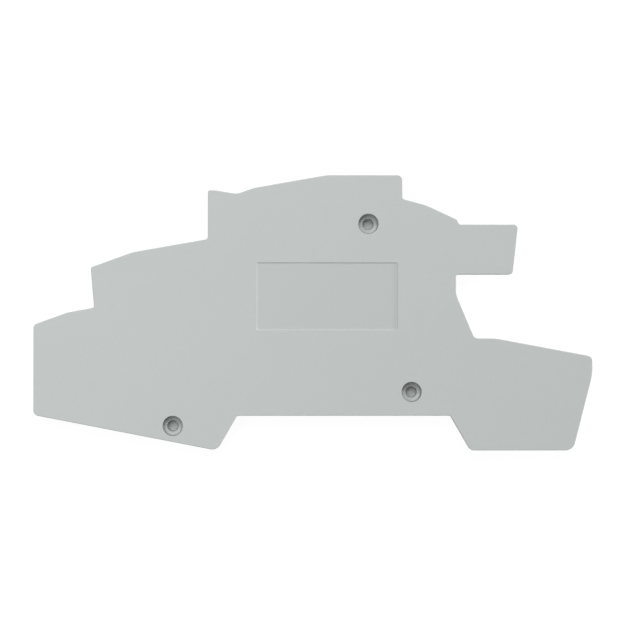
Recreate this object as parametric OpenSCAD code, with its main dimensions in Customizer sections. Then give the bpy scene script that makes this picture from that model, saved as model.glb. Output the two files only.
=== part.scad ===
// End cover of a three-level terminal block for a 35 mm mounting rail, moulded in one piece.
// It lies on its three pegs with the smooth front face up: X runs across the rail, Y away from
// the rail and Z out of the front face. The origin is under the middle of the outline, at the
// height of the peg tips. Reaches are measured from the rail's centre line, heights from the
// seat, the edge that faces the top of the rail.

/* [Plate] */
// Thickness of the plate
plate_t = 2.2; // [1.8:0.1:4]
// Rounding where the front face meets the side walls
front_edge_r = 0.25; // [0.1:0.05:0.3]

/* [Rail notch] */
// Width of the mounting rail
rail_w = 35; // [32:0.5:37]
// Clearance between the rail and the notch, on each side at the seat
rail_gap = 1.4; // [0.6:0.1:2.2]
// Depth of the notch, from the seat to the underside of both feet
notch_depth = 6.15; // [4.5:0.05:7.5]
// Angle between the notch walls and the seat
notch_wall_angle = 60; // [50:1:75]
// Radius in the two inner corners of the notch
notch_corner_r = 0.5; // [0.3:0.05:1.2]
// Radius at the tips of the feet, beside the notch
foot_inner_r = 1.1; // [0.5:0.1:1.6]

/* [Left end] */
// Reach of the left end wall
left_reach = 54.9; // [52:0.1:58]
// Angle at which the underside rises from the left foot to the end wall
belly_angle = 11; // [7:0.5:13]
// Radius at the tip of the left foot, below the notch wall
left_foot_r = 1.7; // [0.8:0.1:2]
// Radius of the end wall's lower corner
left_low_r = 1; // [0.5:0.1:3]
// Radius of the end wall's upper corner
left_top_r = 0.8; // [0.4:0.1:2]
// Height of the end wall's upper corner
low_corner_h = 16.1; // [13:0.1:18]
// Run of the low roof's steep stretch
low_eave_run = 6.05; // [3:0.05:7]

/* [Middle step] */
// Reach of the middle step's wall, at its foot
mid_reach = 44.2; // [42:0.1:46]
// Lean of that wall, outwards as it rises
mid_lean = 5; // [0:1:8]
// Height of the middle step's corner
mid_corner_h = 26.25; // [24:0.05:27.5]
// Run of the middle roof's steep stretch
mid_eave_run = 7.4; // [4:0.1:12]

/* [Roof slopes] */
// Slope of each roof beside the wall above it
roof_slope = 10; // [6:0.5:13]
// Slope of each roof's steep stretch
eave_slope = 20; // [15:0.5:25]
// Radius where a roof changes its slope
bend_r = 9; // [2:0.5:12]

/* [Crown] */
// Reach of the upper step's wall
top_reach = 24.1; // [23:0.1:28]
// Height of the flat top
crown_h = 42.65; // [41:0.05:48]
// Reach of the flat top's left end
crown_left = 3; // [1:0.1:4]
// Reach of the crown's right wall
crown_right = 10.4; // [8:0.1:13]
// Drop of the crown's right wall
crown_drop = 4.2; // [3:0.1:4.6]
// Radius of the crown's right corner
crown_corner_r = 0.9; // [0.4:0.1:2]
// Run of the roof left of the flat top
crown_roof_run = 13; // [11:0.1:13.5]
// Run of the steep stretch that drops into the valley
valley_run = 2.95; // [1.8:0.05:3.4]
// Radius in the valley
valley_r = 3.2; // [0.8:0.1:4]
// Run of the lip that rises from the valley to the upper step's corner
lip_run = 3.8; // [2.4:0.1:4.2]

/* [Shoulder and arm] */
// Slope of the shoulder beside the crown
shoulder_slope = 15; // [10:1:18]
// Run of the shoulder at that slope
shoulder_run = 4.25; // [3:0.05:6]
// Slope of the rest of the shoulder
shoulder_fall = 25; // [22:0.5:26]
// Reach of the step between the shoulder and the arm
step_reach = 20.05; // [18:0.05:20.5]
// Lean of that step, off the vertical
step_lean = 28; // [10:1:40]
// Height of the arm's top
arm_top_h = 33.9; // [32:0.1:34.1]
// Height of the arm's underside
arm_low_h = 25.05; // [23.5:0.05:27]
// Reach of the arm's upper corner
arm_reach = 30.95; // [27:0.05:36]
// Lean of the arm's end, inwards as it drops
arm_lean = 6.5; // [0:0.5:12]
// Radius of the arm's corners
arm_corner_r = 0.7; // [0.4:0.05:2]

/* [Busbar slot] */
// Reach of the slot's upright inner wall
slot_reach = 19.9; // [17:0.1:21]
// Height of that upright wall
slot_wall_h = 3.6; // [1.6:0.1:5]
// Lean of the wall below it, outwards as it drops
slot_flare = 23; // [10:1:28]
// Height of the slot's floor
slot_floor_h = 13.7; // [12.5:0.1:15]
// Reach at which the floor turns into the roof of the right foot
slot_floor_reach = 26.9; // [25.5:0.1:30]
// Radius between the leaning wall and the floor
slot_corner_r = 0.9; // [0.4:0.1:1.4]

/* [Right foot] */
// Reach of the foot's outer tip
right_reach = 44.1; // [41:0.1:48]
// Height of the tip's upper corner
tip_h = 10.5; // [9:0.1:12.4]
// Length of the tip's upright wall
tip_wall = 3.2; // [2.6:0.1:5]
// Radius of the tip's upper corner
tip_corner_r = 1; // [0.4:0.1:2]
// Lean of the foot's outer wall below the tip
foot_lean = 14.4; // [8:0.2:18]
// Radius of the foot's lower outer corner
foot_outer_r = 1.8; // [1:0.1:4]

/* [Fine corners] */
// Radius of the small outer corners
fine_outer_r = 0.45; // [0.4:0.05:0.6]
// Radius of the small inner corners
fine_inner_r = 0.45; // [0.2:0.05:0.5]

/* [Label field] */
// Width of the recessed field
label_w = 25.1; // [15:0.1:32]
// Height of the recessed field
label_h = 12; // [6:0.1:15]
// Depth of the recessed field
label_depth = 0.15; // [0.1:0.05:0.6]
// Radius of the field's two corners at the right
label_right_r = 0.45; // [0.2:0.05:2]
// Radius of its two corners at the left
label_left_r = 0.15; // [0.1:0.05:2]
// Distance of the field's middle left of the rail's centre line
label_left = 2.95; // [-2:0.05:8]
// Height of the field's middle
label_mid_h = 21.15; // [12:0.05:24]

/* [Pegs] */
// Outer diameter of the three pegs
peg_d = 3.5; // [3:0.1:4]
// Length of the pegs beyond the back face
peg_len = 2.8; // [2:0.1:5]
// Length of the lead-in cone at each tip
peg_lead = 0.5; // [0.2:0.1:0.9]
// Diameter of the core over each peg, at the front face
core_step_d = 3.6; // [3.4:0.1:4.2]
// Depth of its wide upper step
core_step_depth = 1.6; // [1:0.1:1.7]
// Diameter of the narrow hole in that step
core_hole_d = 2.05; // [1.4:0.05:2.4]
// Depth of the narrow hole below the step
core_hole_depth = 1.4; // [0.4:0.1:1.7]
// Draft of both walls, off the vertical
core_draft = 7; // [1:0.5:14]
// Reach of the upper peg, right of the centre line
upper_peg_reach = 4.35; // [2:0.05:8]
// Height of the upper peg
upper_peg_h = 34; // [31:0.1:36.5]
// Reach of the right peg, right of the centre line
right_peg_reach = 12; // [4:0.1:24]
// Height of the right peg
right_peg_h = 4.2; // [3:0.1:10]
// Reach of the left peg, left of the centre line
left_peg_reach = 30.3; // [26:0.1:40]
// Height of the left peg
left_peg_h = -1.8; // [-1.9:0.1:6]

/* [Hidden] */
$fn = 96;
// Largest angle between neighbouring points of a rounded corner, and of the rounded front edge
corner_step = 7.5;
edge_step = 30;
// How far the band round the plate reaches in past its rounded edge
edge_lap = 0.1;
// How far a cutter stands out of the face that it cuts
overshoot = 1;
peg_places = [
    [upper_peg_reach, upper_peg_h],
    [right_peg_reach, right_peg_h],
    [-left_peg_reach, left_peg_h],
];
bounds_middle = [(right_reach - left_reach) / 2, (crown_h - notch_depth) / 2];

// The notch and the two feet
notch_half = rail_w / 2 + rail_gap;
foot_reach = notch_half + notch_depth / tan(notch_wall_angle);
foot_heel_reach = right_reach - (tip_h - tip_wall + notch_depth) * tan(foot_lean);
left_low_h = (left_reach - foot_reach) * tan(belly_angle) - notch_depth;
// The left steps, from the end wall to the upper wall
low_bend_reach = left_reach - low_eave_run;
low_bend_h = low_corner_h + low_eave_run * tan(eave_slope);
mid_foot_h = low_bend_h + (low_bend_reach - mid_reach) * tan(roof_slope);
mid_corner_reach = mid_reach + (mid_corner_h - mid_foot_h) * tan(mid_lean);
mid_bend_reach = mid_corner_reach - mid_eave_run;
mid_bend_h = mid_corner_h + mid_eave_run * tan(eave_slope);
top_foot_h = mid_bend_h + (mid_bend_reach - top_reach) * tan(roof_slope);
// The crown, from the flat top down to the lip over the upper wall
crown_bend_reach = crown_left + crown_roof_run;
crown_bend_h = crown_h - crown_roof_run * tan(roof_slope);
valley_reach = crown_bend_reach + valley_run;
valley_h = crown_bend_h - valley_run * tan(eave_slope);
lip_h = valley_h + lip_run * tan(roof_slope);
// The shoulder, the arm and the slot
shoulder_h = crown_h - crown_drop;
shoulder_bend_reach = crown_right + shoulder_run;
shoulder_bend_h = shoulder_h - shoulder_run * tan(shoulder_slope);
step_h = shoulder_bend_h - (step_reach - shoulder_bend_reach) * tan(shoulder_fall);
step_foot_reach = step_reach + (step_h - arm_top_h) * tan(step_lean);
arm_low_reach = arm_reach - (arm_top_h - arm_low_h) * tan(arm_lean);
slot_bend_h = arm_low_h - slot_wall_h;
slot_foot_reach = slot_reach + (slot_bend_h - slot_floor_h) * tan(slot_flare);

// Corners of the outline as [reach, height, radius], anticlockwise from the end wall's lower corner
CORNERS = [
    [-left_reach, left_low_h, left_low_r],
    [-foot_reach, -notch_depth, left_foot_r],
    [-notch_half, 0, notch_corner_r],
    [notch_half, 0, notch_corner_r],
    [foot_reach, -notch_depth, foot_inner_r],
    [foot_heel_reach, -notch_depth, foot_outer_r],
    [right_reach, tip_h - tip_wall, bend_r],
    [right_reach, tip_h, tip_corner_r],
    [slot_floor_reach, slot_floor_h, bend_r],
    [slot_foot_reach, slot_floor_h, slot_corner_r],
    [slot_reach, slot_bend_h, bend_r / 2],
    [slot_reach, arm_low_h, fine_inner_r],
    [arm_low_reach, arm_low_h, arm_corner_r],
    [arm_reach, arm_top_h, arm_corner_r],
    [step_foot_reach, arm_top_h, fine_inner_r],
    [step_reach, step_h, fine_outer_r],
    [shoulder_bend_reach, shoulder_bend_h, bend_r],
    [crown_right, shoulder_h, fine_inner_r],
    [crown_right, crown_h, crown_corner_r],
    [-crown_left, crown_h, bend_r],
    [-crown_bend_reach, crown_bend_h, bend_r],
    [-valley_reach, valley_h, valley_r],
    [-valley_reach - lip_run, lip_h, bend_r],
    [-top_reach, lip_h, fine_outer_r],
    [-top_reach, top_foot_h, fine_inner_r],
    [-mid_bend_reach, mid_bend_h, bend_r],
    [-mid_corner_reach, mid_corner_h, fine_outer_r],
    [-mid_reach, mid_foot_h, fine_inner_r],
    [-low_bend_reach, low_bend_h, bend_r],
    [-left_reach, low_corner_h, left_top_r],
];

function unit(v) = v / norm(v);
function left_of(v) = [-v.y, v.x];
function turned(v, angle) = v * cos(angle) + left_of(v) * sin(angle);

// Points of the rounded corner at v, between its neighbours a and b, on the outline moved inwards
// by inset. The radius is limited so that it leaves both straight stretches some of their length.
function corner_arc(a, v, b, radius, inset) =
    let (
        along = unit(v - a),
        onward = unit(b - v),
        turn = atan2(cross(along, onward), along * onward),
        side = sign(turn),
        room = 0.49 * min(norm(v - a), norm(b - v)) / tan(abs(turn) / 2),
        r = min(radius, room) - side * inset,
        vertex = v + inset * (left_of(along) + left_of(onward)) / (1 + along * onward),
        centre = vertex - along * r * tan(abs(turn) / 2) + side * r * left_of(along),
        steps = ceil(abs(turn) / corner_step)
    )
    [for (k = [0 : steps]) centre - side * r * turned(left_of(along), turn * k / steps)];

// The whole outline, moved inwards by inset
function outline(inset) =
    let (n = len(CORNERS), spot = [for (c = CORNERS) [c[0], c[1]]])
    [
        for (i = [0 : n - 1])
            each corner_arc(spot[(i + n - 1) % n], spot[i], spot[(i + 1) % n], CORNERS[i][2], inset)
    ];

// Band that follows the outline. Its section is a closed list of [inset, height], clockwise
// when the outside of the plate is on the left.
module edge_band(section) {
    rings = [for (s = section) [for (p = outline(s[0])) [p.x, p.y, s[1]]]];
    levels = len(rings);
    n = len(rings[0]);
    polyhedron(
        [for (ring = rings) each ring],
        [
            for (j = [0 : levels - 1], i = [0 : n - 1])
                let (up = (j + 1) % levels, next = (i + 1) % n)
                [j * n + i, up * n + i, up * n + next, j * n + next]
        ],
        convexity = 10
    );
}

// Flat core, and round it the band that carries the side walls and the rounded front edge
module plate() {
    linear_extrude(plate_t)
        polygon(outline(front_edge_r + edge_lap / 2));
    edge_band(concat(
        [[0, 0]],
        [
            for (a = [0 : edge_step : 90])
                [front_edge_r * (1 - cos(a)), plate_t - front_edge_r * (1 - sin(a))]
        ],
        [[front_edge_r + edge_lap, plate_t], [front_edge_r + edge_lap, 0]]
    ));
}

module label_field() {
    w = label_w / 2;
    h = label_h / 2;
    corners = [[-w, -h], [w, -h], [w, h], [-w, h]];
    radii = [label_left_r, label_right_r, label_right_r, label_left_r];
    translate([-label_left, label_mid_h, plate_t - label_depth])
        linear_extrude(label_depth + overshoot)
            polygon([
                for (i = [0 : 3])
                    each corner_arc(corners[(i + 3) % 4], corners[i], corners[(i + 1) % 4], radii[i], 0)
            ]);
}

// Peg below the back face, rooted in the plate
module peg() {
    root = plate_t / 2;
    translate([0, 0, peg_lead - peg_len])
        cylinder(d = peg_d, h = peg_len - peg_lead + root);
    translate([0, 0, -peg_len])
        cylinder(d1 = peg_d - 2 * peg_lead * tan(30), d2 = peg_d, h = peg_lead);
}

// Round pit in the front face, wider upwards by its draft: a diameter at the height top
module pit(d, top, depth, above) {
    translate([0, 0, top - depth])
        cylinder(
            d1 = d - 2 * depth * tan(core_draft),
            d2 = d + 2 * above * tan(core_draft),
            h = depth + above
        );
}

// Two-step core over a peg, which keeps the plastic there from sinking in
module peg_core() {
    pit(core_step_d, plate_t, core_step_depth, overshoot);
    pit(core_hole_d, plate_t - core_step_depth, core_hole_depth, core_step_depth / 2);
}

module end_cover() {
    color([0.75, 0.765, 0.76])
        translate([-bounds_middle.x, -bounds_middle.y, peg_len])
            difference() {
                union() {
                    plate();
                    for (p = peg_places)
                        translate(p)
                            peg();
                }
                label_field();
                for (p = peg_places)
                    translate(p)
                        peg_core();
            }
}

end_cover();
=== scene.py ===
import bpy
import math
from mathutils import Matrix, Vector


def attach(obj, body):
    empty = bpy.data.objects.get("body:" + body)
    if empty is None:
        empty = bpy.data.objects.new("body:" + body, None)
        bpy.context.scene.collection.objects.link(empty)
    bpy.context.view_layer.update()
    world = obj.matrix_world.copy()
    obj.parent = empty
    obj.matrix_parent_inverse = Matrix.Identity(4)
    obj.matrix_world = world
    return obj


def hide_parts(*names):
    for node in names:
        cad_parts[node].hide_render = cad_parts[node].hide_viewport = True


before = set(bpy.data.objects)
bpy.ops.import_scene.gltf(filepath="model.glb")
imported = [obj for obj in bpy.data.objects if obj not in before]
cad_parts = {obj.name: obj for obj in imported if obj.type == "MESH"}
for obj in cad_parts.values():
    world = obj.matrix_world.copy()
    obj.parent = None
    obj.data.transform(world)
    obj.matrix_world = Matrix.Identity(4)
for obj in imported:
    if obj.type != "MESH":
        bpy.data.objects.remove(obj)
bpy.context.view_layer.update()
print("frame loaded")

mm = 0.001


def tan(degrees):
    return math.tan(math.radians(degrees))


def newObject(name, data):
    item = bpy.data.objects.new(name, data)
    bpy.context.scene.collection.objects.link(item)
    return item


# A socket that takes part in sums, so that node maths reads as ordinary expressions
class Wire:
    def __init__(self, maker, socket):
        self.maker = maker
        self.socket = socket

    def calc(self, operation, *values):
        return self.maker.add("ShaderNodeMath", {"operation": operation}, dict(enumerate(values)))

    def out(self, name):
        return Wire(self.maker, self.socket.node.outputs[name])

    def upTo(self, limit):
        return self.calc("MINIMUM", self, limit)

    def orMore(self, other):
        return self.calc("MAXIMUM", self, other)

    def size(self):
        return self.calc("ABSOLUTE", self)

    def wave(self):
        return self.calc("SINE", self)

    def __add__(self, other):
        return self.calc("ADD", self, other)

    def __radd__(self, other):
        return self.calc("ADD", other, self)

    def __sub__(self, other):
        return self.calc("SUBTRACT", self, other)

    def __rsub__(self, other):
        return self.calc("SUBTRACT", other, self)

    def __mul__(self, other):
        return self.calc("MULTIPLY", self, other)

    def __rmul__(self, other):
        return self.calc("MULTIPLY", other, self)

    def __truediv__(self, other):
        return self.calc("DIVIDE", self, other)

    def __neg__(self):
        return self.calc("MULTIPLY", self, -1)

    def __gt__(self, other):
        return self.calc("GREATER_THAN", self, other)


# One way to add any node: its type, its settings, then the values or links of its sockets
class Maker:
    def __init__(self, tree):
        self.tree = tree

    def add(self, kind, settings=None, sockets=None):
        node = self.tree.nodes.new(kind)
        for name, value in (settings or {}).items():
            if name == "items":       # how many values an Index Switch chooses from
                while len(node.index_switch_items) < value:
                    node.index_switch_items.new()
            else:
                setattr(node, name, value)
        for key, value in (sockets or {}).items():
            socket = node.inputs[key]
            for item in value if isinstance(value, list) else [value]:
                if isinstance(item, Wire):
                    self.tree.links.new(item.socket, socket)
                else:
                    socket.default_value = item
        shown = [s for s in node.outputs if s.enabled]
        return Wire(self, shown[0]) if shown else node

    def vector(self, x, y, z=0.0):
        return self.add("ShaderNodeCombineXYZ", None, {"X": x, "Y": y, "Z": z})

    def parts(self, vector):
        return self.add("ShaderNodeSeparateXYZ", None, {0: vector})


# Cover: a plate whose outline is a ring of rounded corners. Sizes are in mm and degrees, with reaches
# from the rail's centre line and heights from the seat in the rail notch, as the CAD part has them.
cover = {
    "plateThickness": 2.2, "frontEdge": 0.12, "backEdge": 0.08,

    # rail notch, steps on the left, crown, shoulder, arm, busbar slot and right foot
    "railWidth": 35, "railGap": 1.4, "notchDepth": 6.15, "notchWallAngle": 60,
    "leftReach": 54.9, "bellyAngle": 11, "lowCorner": 16.1, "lowEaveRun": 6.05,
    "midReach": 44.2, "midLean": 5, "midCorner": 26.25, "midEaveRun": 7.4,
    "roofSlope": 10, "eaveSlope": 20,
    "topReach": 24.1, "crownHeight": 42.65, "crownLeft": 3, "crownRight": 10.4, "crownDrop": 4.2,
    "crownRoofRun": 13, "valleyRun": 2.95, "lipRun": 3.8,
    "shoulderSlope": 15, "shoulderRun": 4.25, "shoulderFall": 25,
    "stepReach": 20.05, "stepLean": 28,
    "armTop": 33.9, "armLow": 25.05, "armReach": 30.95, "armLean": 6.5,
    "slotReach": 19.9, "slotWall": 3.6, "slotFlare": 23, "slotFloor": 13.7, "slotFloorReach": 26.9,
    "rightReach": 44.1, "tipHeight": 10.5, "tipWall": 3.2, "footLean": 14.4,

    # radii of the outline's corners
    "bendRadius": 9,          # where one slope turns into the next
    "fineRadius": 0.45,       # in the small corners of the steps
    "leftLowRadius": 1, "leftFootRadius": 1.7, "leftTopRadius": 0.8, "notchRadius": 0.5,
    "footInnerRadius": 1.1, "footOuterRadius": 1.8, "tipRadius": 1, "slotRadius": 0.9,
    "armRadius": 0.7, "crownRadius": 0.9, "valleyRadius": 3.2,

    # label field
    "labelMiddle": (-2.95, 21.15), "labelWidth": 25.1, "labelHeight": 12, "labelDepth": 0.15,
    "labelDraft": 0.15, "labelRim": 0.03, "labelLeftRadius": 0.21, "labelRightRadius": 0.45,

    # pegs on the back, and the two-step cores in the front face over them
    "pegPlaces": [(4.35, 34), (12, 4.2), (-30.3, -1.8)],
    "pegLength": 2.8, "pegRadius": 1.75, "pegLead": 0.5, "pegLeadAngle": 30, "pegRoot": 0.2,
    "coreStepRadius": 1.8, "coreStepDepth": 1.6, "coreHoleRadius": 1.025, "coreHoleDepth": 1.4,
    "coreDraft": 7,
    "rim": 0.03,              # rounding at the rims and steps of the cores and at the pegs' tips
    "leadRims": 2,            # rounding where a peg's lead-in starts, in such roundings

    # how fine the mesh is
    "cornerStep": 4,          # degrees between points of an outline corner
    "cornerPoints": 3,        # the least that such a corner has
    "cornerShare": 0.49,      # the most of a side that a corner may take
    "edgePoints": 5, "rimPoints": 4, "circlePoints": 72, "labelCornerPoints": 12,
    "lap": 0.05,              # how far a section runs on over the flat face beside it
    "labelLap": 2, "labelFloorLap": 1.7,      # the same at the label field, in radii of its rim
    "weld": 0.002,            # points nearer than this become one
    "flatFrom": 0.9995,       # a face is flat-shaded where its normal's Z, up or down, is above this
}


def coverCorners(s):
    # corners as (reach, height, radius), anticlockwise from the end wall's lower corner
    roof = tan(s["roofSlope"])
    eave = tan(s["eaveSlope"])
    bend = s["bendRadius"]
    fine = s["fineRadius"]
    notchHalf = s["railWidth"] / 2 + s["railGap"]
    footReach = notchHalf + s["notchDepth"] / tan(s["notchWallAngle"])
    tipFoot = s["tipHeight"] - s["tipWall"]
    heelReach = s["rightReach"] - (tipFoot + s["notchDepth"]) * tan(s["footLean"])
    leftLow = (s["leftReach"] - footReach) * tan(s["bellyAngle"]) - s["notchDepth"]
    lowBendReach = s["leftReach"] - s["lowEaveRun"]
    lowBend = s["lowCorner"] + s["lowEaveRun"] * eave
    midFoot = lowBend + (lowBendReach - s["midReach"]) * roof
    midCornerReach = s["midReach"] + (s["midCorner"] - midFoot) * tan(s["midLean"])
    midBendReach = midCornerReach - s["midEaveRun"]
    midBend = s["midCorner"] + s["midEaveRun"] * eave
    topFoot = midBend + (midBendReach - s["topReach"]) * roof
    crownBendReach = s["crownLeft"] + s["crownRoofRun"]
    crownBend = s["crownHeight"] - s["crownRoofRun"] * roof
    valleyReach = crownBendReach + s["valleyRun"]
    valley = crownBend - s["valleyRun"] * eave
    lip = valley + s["lipRun"] * roof
    shoulder = s["crownHeight"] - s["crownDrop"]
    shoulderBendReach = s["crownRight"] + s["shoulderRun"]
    shoulderBend = shoulder - s["shoulderRun"] * tan(s["shoulderSlope"])
    step = shoulderBend - (s["stepReach"] - shoulderBendReach) * tan(s["shoulderFall"])
    stepFootReach = s["stepReach"] + (step - s["armTop"]) * tan(s["stepLean"])
    armLowReach = s["armReach"] - (s["armTop"] - s["armLow"]) * tan(s["armLean"])
    slotBend = s["armLow"] - s["slotWall"]
    slotFootReach = s["slotReach"] + (slotBend - s["slotFloor"]) * tan(s["slotFlare"])
    return [
        (-s["leftReach"], leftLow, s["leftLowRadius"]),
        (-footReach, -s["notchDepth"], s["leftFootRadius"]),
        (-notchHalf, 0, s["notchRadius"]),
        (notchHalf, 0, s["notchRadius"]),
        (footReach, -s["notchDepth"], s["footInnerRadius"]),
        (heelReach, -s["notchDepth"], s["footOuterRadius"]),
        (s["rightReach"], tipFoot, bend),
        (s["rightReach"], s["tipHeight"], s["tipRadius"]),
        (s["slotFloorReach"], s["slotFloor"], bend),
        (slotFootReach, s["slotFloor"], s["slotRadius"]),
        (s["slotReach"], slotBend, bend / 2),
        (s["slotReach"], s["armLow"], fine),
        (armLowReach, s["armLow"], s["armRadius"]),
        (s["armReach"], s["armTop"], s["armRadius"]),
        (stepFootReach, s["armTop"], fine),
        (s["stepReach"], step, fine),
        (shoulderBendReach, shoulderBend, bend),
        (s["crownRight"], shoulder, fine),
        (s["crownRight"], s["crownHeight"], s["crownRadius"]),
        (-s["crownLeft"], s["crownHeight"], bend),
        (-crownBendReach, crownBend, bend),
        (-valleyReach, valley, s["valleyRadius"]),
        (-valleyReach - s["lipRun"], lip, bend),
        (-s["topReach"], lip, fine),
        (-s["topReach"], topFoot, fine),
        (-midBendReach, midBend, bend),
        (-midCornerReach, s["midCorner"], fine),
        (-s["midReach"], midFoot, fine),
        (-lowBendReach, lowBend, bend),
        (-s["leftReach"], s["lowCorner"], s["leftTopRadius"]),
    ]


def toRow(reach, height):
    # from the rail's centre line and the seat to the row's frame, in metres
    middleReach = (cover["rightReach"] - cover["leftReach"]) / 2
    middleHeight = (cover["crownHeight"] - cover["notchDepth"]) / 2
    return Vector(((reach - middleReach) * mm, (height - middleHeight) * mm, 0))


def cornerRing(s):
    # the outline's corners as a ring of edges, and the peg places as loose points
    corners = coverCorners(s)
    spots = [toRow(reach, height) for reach, height, _ in corners]
    sides = [(i, (i + 1) % len(spots)) for i in range(len(spots))]
    radii = []
    steps = []
    for i, (_, _, radius) in enumerate(corners):
        before = spots[i - 1] - spots[i]
        after = spots[sides[i][1]] - spots[i]
        turn = math.pi - before.angle(after)
        room = s["cornerShare"] * min(before.length, after.length) / math.tan(turn / 2)
        radii.append(min(radius * mm, room))
        steps.append(max(s["cornerPoints"], math.ceil(math.degrees(turn) / s["cornerStep"])))
    pegs = [toRow(*place) for place in s["pegPlaces"]]
    ring = bpy.data.meshes.new("coverCorners")
    ring.from_pydata(spots + pegs, sides, [])
    for name, kind, values in (
        ("cornerRadius", "FLOAT", radii + [0] * len(pegs)),
        ("cornerSteps", "INT", steps + [1] * len(pegs)),
        ("isPeg", "BOOLEAN", [False] * len(spots) + [True] * len(pegs)),
    ):
        ring.attributes.new(name, kind, "POINT").data.foreach_set("value", values)
    return ring


# The inputs of the cover's node tree, in metres
coverForm = {
    "Plate Thickness": cover["plateThickness"] * mm,
    "Front Edge Radius": cover["frontEdge"] * mm,
    "Back Edge Radius": cover["backEdge"] * mm,
    "Label Width": cover["labelWidth"] * mm,
    "Label Height": cover["labelHeight"] * mm,
    "Label Depth": cover["labelDepth"] * mm,
    "Label Draft": cover["labelDraft"] * mm,
    "Label Rim Radius": cover["labelRim"] * mm,
    "Label Left Radius": cover["labelLeftRadius"] * mm,
    "Label Right Radius": cover["labelRightRadius"] * mm,
    "Rim Radius": cover["rim"] * mm,
    "Core Step Radius": cover["coreStepRadius"] * mm,
    "Core Step Depth": cover["coreStepDepth"] * mm,
    "Core Hole Radius": cover["coreHoleRadius"] * mm,
    "Core Hole Depth": cover["coreHoleDepth"] * mm,
    "Core Draft": tan(cover["coreDraft"]),
    "Peg Length": cover["pegLength"] * mm,
    "Peg Radius": cover["pegRadius"] * mm,
    "Peg Lead": cover["pegLead"] * mm,
    "Peg Lead Slope": tan(cover["pegLeadAngle"]),
    "Peg Root Radius": cover["pegRoot"] * mm,
}


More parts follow.
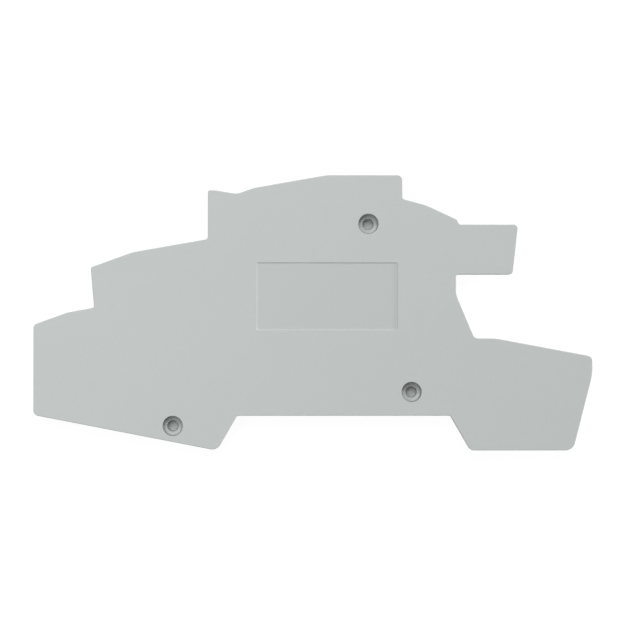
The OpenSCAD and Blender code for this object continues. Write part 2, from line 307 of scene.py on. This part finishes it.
def coverTree(name, s):
    tree = bpy.data.node_groups.new(name, "GeometryNodeTree")
    tree.interface.new_socket("Geometry", in_out="INPUT", socket_type="NodeSocketGeometry")
    for label, value in coverForm.items():
        entry = tree.interface.new_socket(label, in_out="INPUT", socket_type="NodeSocketFloat")
        entry.default_value = value
    tree.interface.new_socket("Material", in_out="INPUT", socket_type="NodeSocketMaterial")
    tree.interface.new_socket("Geometry", in_out="OUTPUT", socket_type="NodeSocketGeometry")
    g = Maker(tree)
    given = g.add("NodeGroupInput")
    thickness, pegLength = given.out("Plate Thickness"), given.out("Peg Length")
    rim = given.out("Rim Radius")
    lap = s["lap"] * mm

    def attribute(name, kind):
        return g.add("GeometryNodeInputNamedAttribute", {"data_type": kind}, {"Name": name})

    def section(points, steps):
        # open line through (outwards, down, rounding) points, each rounded by its own radius
        count = len(points)
        index = g.add("GeometryNodeInputIndex")
        places = {i + 1: g.vector(outwards, down) for i, (outwards, down, _) in enumerate(points)}
        radii = {i + 1: rounding for i, (_, _, rounding) in enumerate(points)}
        place = g.add("GeometryNodeIndexSwitch", {"data_type": "VECTOR", "items": count},
                      {0: index, **places})
        radius = g.add("GeometryNodeIndexSwitch", {"data_type": "FLOAT", "items": count},
                       {0: index, **radii})
        line = g.add("GeometryNodeMeshLine", {"mode": "OFFSET"}, {"Count": count, "Offset": (mm, 0, 0)})
        line = g.add("GeometryNodeMeshToCurve", None, {"Mesh": line})
        line = g.add("GeometryNodeSetPosition", None, {"Geometry": line, "Position": place})
        return g.add("GeometryNodeFilletCurve", {"mode": "POLY"},
                     {"Curve": line, "Count": steps, "Radius": radius, "Limit Radius": True})

    def upright(curve):
        return g.add("GeometryNodeSetCurveNormal", {"mode": "Z_UP"}, {"Curve": curve})

    def reversedLine(curve):
        return g.add("GeometryNodeReverseCurve", None, {"Curve": curve})

    def moved(geometry, down):
        shift = g.vector(0, 0, -down)
        return g.add("GeometryNodeTransform", None, {"Geometry": geometry, "Translation": shift})

    def beside(curve, outwards):
        # the same line, moved outwards in its own plane, as a section's point is
        normal = g.add("GeometryNodeInputNormal")
        offset = g.add("ShaderNodeVectorMath", {"operation": "SCALE"}, {0: normal, "Scale": outwards})
        return g.add("GeometryNodeSetPosition", None, {"Geometry": curve, "Offset": offset})

    def swept(curve, profile):
        return g.add("GeometryNodeCurveToMesh", None, {"Curve": curve, "Profile Curve": profile})

    def filled(curves, down):
        edges = g.add("GeometryNodeJoinGeometry", None, {"Geometry": curves})
        return moved(g.add("GeometryNodeFillCurve", {"mode": "TRIANGLES"}, {"Curve": edges}), down)

    def marked(mesh, mark):
        # a face attribute that the plastic reads: 1 on these faces and 0 on all others
        return g.add("GeometryNodeStoreNamedAttribute", {"data_type": "FLOAT", "domain": "FACE"},
                     {"Geometry": mesh, "Name": mark, "Value": 1.0})

    def turnedRound(mesh):
        return g.add("GeometryNodeFlipFaces", None, {"Mesh": mesh})

    def circles(radius):
        circle = g.add("GeometryNodeCurvePrimitiveCircle", {"mode": "RADIUS"},
                       {"Resolution": s["circlePoints"], "Radius": radius})
        placed = g.add("GeometryNodeInstanceOnPoints", None,
                       {"Points": given, "Selection": attribute("isPeg", "BOOLEAN"), "Instance": circle})
        return g.add("GeometryNodeRealizeInstances", None, {"Geometry": placed})

    # outline and side wall, with its rounded front and back edges
    outline = upright(g.add("GeometryNodeFilletCurve", {"mode": "POLY"}, {
        "Curve": g.add("GeometryNodeMeshToCurve", None, {"Mesh": given}),
        "Count": attribute("cornerSteps", "INT"),
        "Radius": attribute("cornerRadius", "FLOAT"),
        "Limit Radius": False,
    }))
    front, back = given.out("Front Edge Radius"), given.out("Back Edge Radius")
    frontEnd, backEnd = -front - lap, -back - lap
    edgeWall = swept(outline, section([
        (frontEnd, 0, 0), (0, 0, front), (0, thickness, back), (backEnd, thickness, 0)],
        s["edgePoints"]))

    # label field: a rectangle whose right corners are rounder than its left ones
    across = g.parts(g.add("GeometryNodeInputPosition"))
    labelRadius = g.add("GeometryNodeSwitch", {"input_type": "FLOAT"}, {
        "Switch": across > 0,
        "False": given.out("Label Left Radius"),
        "True": given.out("Label Right Radius"),
    })
    labelShape = g.add("GeometryNodeFilletCurve", {"mode": "POLY"}, {
        "Curve": g.add("GeometryNodeCurvePrimitiveQuadrilateral", None,
                       {"Width": given.out("Label Width"), "Height": given.out("Label Height")}),
        "Count": s["labelCornerPoints"], "Radius": labelRadius, "Limit Radius": False,
    })
    labelShape = g.add("GeometryNodeTransform", None,
                       {"Geometry": labelShape, "Translation": toRow(*s["labelMiddle"])})
    labelEdge = upright(reversedLine(labelShape))
    labelDepth, labelFoot = given.out("Label Depth"), given.out("Label Draft")
    labelRim = given.out("Label Rim Radius")
    labelOuter = -s["labelLap"] * labelRim
    labelInner = labelFoot + s["labelFloorLap"] * labelRim
    labelWall = swept(labelEdge, section([
        (labelOuter, 0, 0), (0, 0, labelRim), (labelFoot, labelDepth, labelRim), (labelInner, labelDepth, 0)],
        s["rimPoints"]))

    # cores: a wide pit, and a narrower one in its floor
    stepRadius, stepDepth = given.out("Core Step Radius"), given.out("Core Step Depth")
    holeDepth, draft = given.out("Core Hole Depth"), given.out("Core Draft")
    coreEdge = upright(reversedLine(circles(stepRadius)))
    coreDepth = stepDepth + holeDepth
    ledge = stepDepth * draft
    hole = stepRadius - given.out("Core Hole Radius")
    holeFoot = hole + holeDepth * draft
    coreOuter, coreInner = -rim - lap, holeFoot + rim + lap
    coreWall = swept(coreEdge, section([
        (coreOuter, 0, 0), (0, 0, rim), (ledge, stepDepth, rim), (hole, stepDepth, rim),
        (holeFoot, coreDepth, rim), (coreInner, coreDepth, 0)],
        s["rimPoints"]))

    # pegs: a fillet at the root and a lead-in cone at the tip
    lead, root = given.out("Peg Lead"), given.out("Peg Root Radius")
    pegEdge = upright(circles(given.out("Peg Radius")))
    leadIn = -lead * given.out("Peg Lead Slope")
    pegOuter, pegInner = root + lap, leadIn - rim - lap
    pegWall = swept(pegEdge, section([
        (pegOuter, 0, 0), (0, 0, root), (0, pegLength - lead, rim * s["leadRims"]),
        (leadIn, pegLength, rim), (pegInner, pegLength, 0)],
        s["rimPoints"]))

    # flat faces between the walls, and the whole
    frontFace = filled(
        [beside(outline, frontEnd), beside(labelEdge, labelOuter), beside(coreEdge, coreOuter)], 0)
    labelFloor = filled([beside(labelEdge, labelInner)], labelDepth)
    coreFloor = filled([beside(coreEdge, coreInner)], coreDepth)
    backFace = filled([beside(outline, backEnd), beside(pegEdge, pegOuter)], thickness)
    pegTip = filled([beside(pegEdge, pegInner)], thickness + pegLength)
    whole = g.add("GeometryNodeJoinGeometry", None, {"Geometry": [
        marked(edgeWall, "onEdge"),
        frontFace,
        labelWall,
        marked(labelFloor, "inLabel"),
        # the inCore mark also tells the plastic where to paint the cores' shade
        marked(coreWall, "inCore"),
        marked(coreFloor, "inCore"),
        turnedRound(backFace),
        moved(pegWall, thickness),
        turnedRound(pegTip),
    ]})
    whole = moved(whole, -(thickness + pegLength))
    whole = g.add("GeometryNodeMergeByDistance", None, {"Geometry": whole, "Distance": s["weld"] * mm})
    facing = g.parts(g.add("GeometryNodeInputNormal"))
    flat = facing.out("Z").size() > s["flatFrom"]
    whole = g.add("GeometryNodeSetShadeSmooth", None,
                  {"Geometry": whole, "Selection": flat, "Shade Smooth": False})
    whole = g.add("GeometryNodeRealizeInstances", None, {"Geometry": whole})
    whole = g.add("GeometryNodeSetMaterial", None, {"Geometry": whole, "Material": given.out("Material")})
    g.add("NodeGroupOutput", None, {"Geometry": whole})
    return tree


# Plastic: a pale cool grey with the fine grain of a spark-eroded mould, drawn smoother down the
# side walls, polished in the label field and rougher in the cores, whose colour carries painted shade
# that deepens with depth and is strongest on their steep walls
plastic = {
    "colour": (0.537, 0.563, 0.556, 1),
    "deepColour": (0.2, 0.21, 0.205, 1),      # what every shade below mixes in
    "streak": 0.045,          # how much the colour wanders along the flow of the plastic
    "streakScale": 45, "streakStretch": 1.8,
    "speckle": 0.07,          # how much darker the grain's pits look than its tops
    "speckleTop": 0.8,        # the height in the grain where that ends
    # painted shade in the cores: the colour is mixed towards deepColour more with depth below the front face,
    # most on steep walls
    "coreShade": 0.05, "coreWallShade": 0.45, "coreShadeDepth": 0.15 * mm,
    "labelShade": 0.045,
    "roughness": 0.5, "grainGloss": 0.08, "streakGloss": 0.1,
    "edgePolish": 0.08, "labelPolish": 0.1, "coreDust": 0.15,
    "grain": 0.12 * mm,       # size of the grain
    "grainDepth": 0.022 * mm,
    "edgeCalm": 0.75, "labelCalm": 0.5, "coreCalm": 0.6,      # share of the grain that is missing there
    "drawLines": 0.1 * mm, "drawStretch": 0.03, "drawDepth": 0.006 * mm,      # down the side walls
    "turnLines": 0.07 * mm, "turnDepth": 0.001 * mm,      # round the cores, from the turned core pins
}


def coverPlastic(p):
    material = bpy.data.materials.new("coverPlastic")
    material.use_nodes = True
    s = Maker(material.node_tree)
    surface = material.node_tree.nodes["Principled BSDF"]

    def mark(name):
        return s.add("ShaderNodeAttribute", {"attribute_name": name}).out("Fac")

    def noise(place, scale, detail, roughness):
        return s.add("ShaderNodeTexNoise", None,
                     {"Vector": place, "Scale": scale, "Detail": detail, "Roughness": roughness})

    def stretched(x=1, y=1, z=1):
        return s.add("ShaderNodeMapping", None, {"Vector": where, "Scale": (x, y, z)})

    def feed(wire, name):
        material.node_tree.links.new(wire.socket, surface.inputs[name])

    coordinates = s.add("ShaderNodeTexCoord")
    where = coordinates.out("Object")
    steep = 1 - s.parts(coordinates.out("Normal")).out("Z").size()
    height = s.parts(where).out("Z")
    depth = ((cover["plateThickness"] + cover["pegLength"]) * mm - height) / p["coreShadeDepth"]
    onEdge, inCore, inLabel = mark("onEdge"), mark("inCore"), mark("inLabel")
    flow = noise(stretched(y=p["streakStretch"]), p["streakScale"], detail=3, roughness=0.5)
    grain = noise(where, 1 / p["grain"], detail=2, roughness=0.6)
    drawn = noise(stretched(z=p["drawStretch"]), 1 / p["drawLines"], detail=1, roughness=0.5)
    turned = (height * (2 * math.pi / p["turnLines"])).wave()

    # painted shade: the cores darken with depth below the front face, most on their steep walls
    coreShade = (p["coreShade"] + p["coreWallShade"] * steep) * inCore * depth.upTo(1)
    speckle = p["speckle"] * (p["speckleTop"] - grain)
    shade = p["streak"] * flow + speckle + coreShade + p["labelShade"] * inLabel
    mixed = s.add("ShaderNodeMix", {"data_type": "RGBA"},      # sockets 6 and 7 are its two colours
                  {"Factor": shade, 6: p["colour"], 7: p["deepColour"]})
    feed(mixed.out("Result"), "Base Color")

    mean = 0.5                # of a noise
    uneven = p["roughness"] + p["grainGloss"] * (grain - mean) + p["streakGloss"] * (flow - mean)
    feed(uneven - p["labelPolish"] * inLabel - p["edgePolish"] * onEdge + p["coreDust"] * inCore, "Roughness")

    relief = p["grainDepth"] * grain * (1 - p["edgeCalm"] * onEdge * steep)
    relief = relief * (1 - p["labelCalm"] * inLabel) * (1 - p["coreCalm"] * inCore)
    relief = relief + p["drawDepth"] * drawn * onEdge * steep + p["turnDepth"] * turned * inCore * steep
    feed(s.add("ShaderNodeBump", None, {"Height": relief, "Distance": 1.0, "Strength": 1.0}), "Normal")
    return material


coverMaterial = coverPlastic(plastic)
host = newObject("coverHost", cornerRing(cover))
form = host.modifiers.new("coverForm", "NODES")
form.node_group = coverTree("coverForm", cover)
inputs = {**coverForm, "Material": coverMaterial}
for socket in form.node_group.interface.items_tree:
    if socket.in_out == "INPUT" and socket.name in inputs:
        form[socket.identifier] = inputs[socket.name]
finished = bpy.data.meshes.new_from_object(host.evaluated_get(bpy.context.evaluated_depsgraph_get()))
bpy.data.objects.remove(host)
finished.name = "coverBody"
for leftover in ("cornerRadius", "cornerSteps", "isPeg"):
    if leftover in finished.attributes:
        finished.attributes.remove(finished.attributes[leftover])
finished.materials.clear()
finished.materials.append(coverMaterial)
finished.polygons.foreach_set("material_index", [0] * len(finished.polygons))
coverBody = newObject("cover_body", finished)
print("cover built:", len(finished.vertices), "points,", len(finished.polygons), "faces")
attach(coverBody, "root")
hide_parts("end_cover")


def seenDirectly(maker):
    # 1 for what the camera sees, straight, in a reflection or through glass, and 0 for other light
    path = maker.add("ShaderNodeLightPath")
    seen = path.out("Is Camera Ray").orMore(path.out("Is Glossy Ray"))
    return seen.orMore(path.out("Is Transmission Ray"))


# Table that the cover lies on: white to the eye, with a trace of the cover's shadow
table = {"size": 1.6, "shadowShare": 0.12, "colour": 0.9, "white": 1.08}


def whiteTable(t):
    material = bpy.data.materials.new("whiteTable")
    material.use_nodes = True
    tree = material.node_tree
    tree.nodes.remove(tree.nodes["Principled BSDF"])
    s = Maker(tree)
    glowShare = seenDirectly(s) * (1 - t["shadowShare"])
    matt = s.add("ShaderNodeBsdfDiffuse", None, {"Color": (t["colour"],) * 3 + (1,)})
    glow = s.add("ShaderNodeEmission", None, {"Color": (1, 1, 1, 1), "Strength": t["white"]})
    mixed = s.add("ShaderNodeMixShader", None, {0: glowShare, 1: matt, 2: glow})
    tree.links.new(mixed.socket, tree.nodes["Material Output"].inputs["Surface"])
    return material


half = table["size"] / 2
tableCorners = [(-half, -half, 0), (half, -half, 0), (half, half, 0), (-half, half, 0)]
tableMesh = bpy.data.meshes.new("tableTop")
tableMesh.from_pydata(tableCorners, [], [(0, 1, 2, 3)])
tableMesh.materials.append(whiteTable(table))
tableTop = newObject("table_top", tableMesh)

# Light: one big soft lamp above the cover's upper edge, a small faint one over its left side,
# a low one from the right that grazes the face, and a pale room
lights = {
    "lamps": {
        "keyLamp": {"power": 9.1, "size": (0.64, 0.62), "place": (0.06, 0.65, 1.055)},
        "leftLamp": {"power": 0.15, "size": (0.12, 0.12), "place": (-0.13, 0.0, 0.24)},
        "sideLamp": {"power": 12.8, "size": (0.8, 0.25), "place": (1.52, 0.49, 0.28)},
    },
    "room": 0.19,
}

for name, lamp in lights["lamps"].items():
    light = bpy.data.lights.new(name, "AREA")
    light.shape = "RECTANGLE"
    light.size, light.size_y = lamp["size"]
    light.energy = lamp["power"]
    lampObject = newObject(name, light)
    lampObject.location = lamp["place"]
    toCover = Vector((0, 0, 0)) - Vector(lamp["place"])
    lampObject.rotation_euler = toCover.to_track_quat("-Z", "Y").to_euler()
room = bpy.data.worlds.new("room")
room.use_nodes = True
bpy.context.scene.world = room
background = room.node_tree.nodes["Background"]
background.inputs["Color"].default_value = (1, 1, 1, 1)
strength = lights["room"] + seenDirectly(Maker(room.node_tree)) * (1 - lights["room"])
room.node_tree.links.new(strength.socket, background.inputs["Strength"])

# Camera: nearly straight above the front face, with a long lens and the width that the photograph takes in
view = {
    "distance": 0.45, "faceWidth": 110.7 * mm, "middle": (-0.155 * mm, 0.03 * mm),
    "lean": (1.0, -0.9),      # degrees off the vertical, about X and Y
    "sensor": 36, "clipStart": 0.01,
}
camera = newObject("camera", bpy.data.cameras.new("camera"))
camera.data.sensor_width = view["sensor"]
camera.data.lens = view["sensor"] * view["distance"] / view["faceWidth"]
camera.data.clip_start = view["clipStart"]
aim = Vector((*view["middle"], (cover["plateThickness"] + cover["pegLength"]) * mm))
camera.rotation_euler = [math.radians(angle) for angle in (*view["lean"], 0)]
camera.location = aim + camera.rotation_euler.to_matrix() @ Vector((0, 0, view["distance"]))
bpy.context.scene.camera = camera
bpy.context.scene.view_settings.view_transform = "Standard"
print("table, light and camera set")
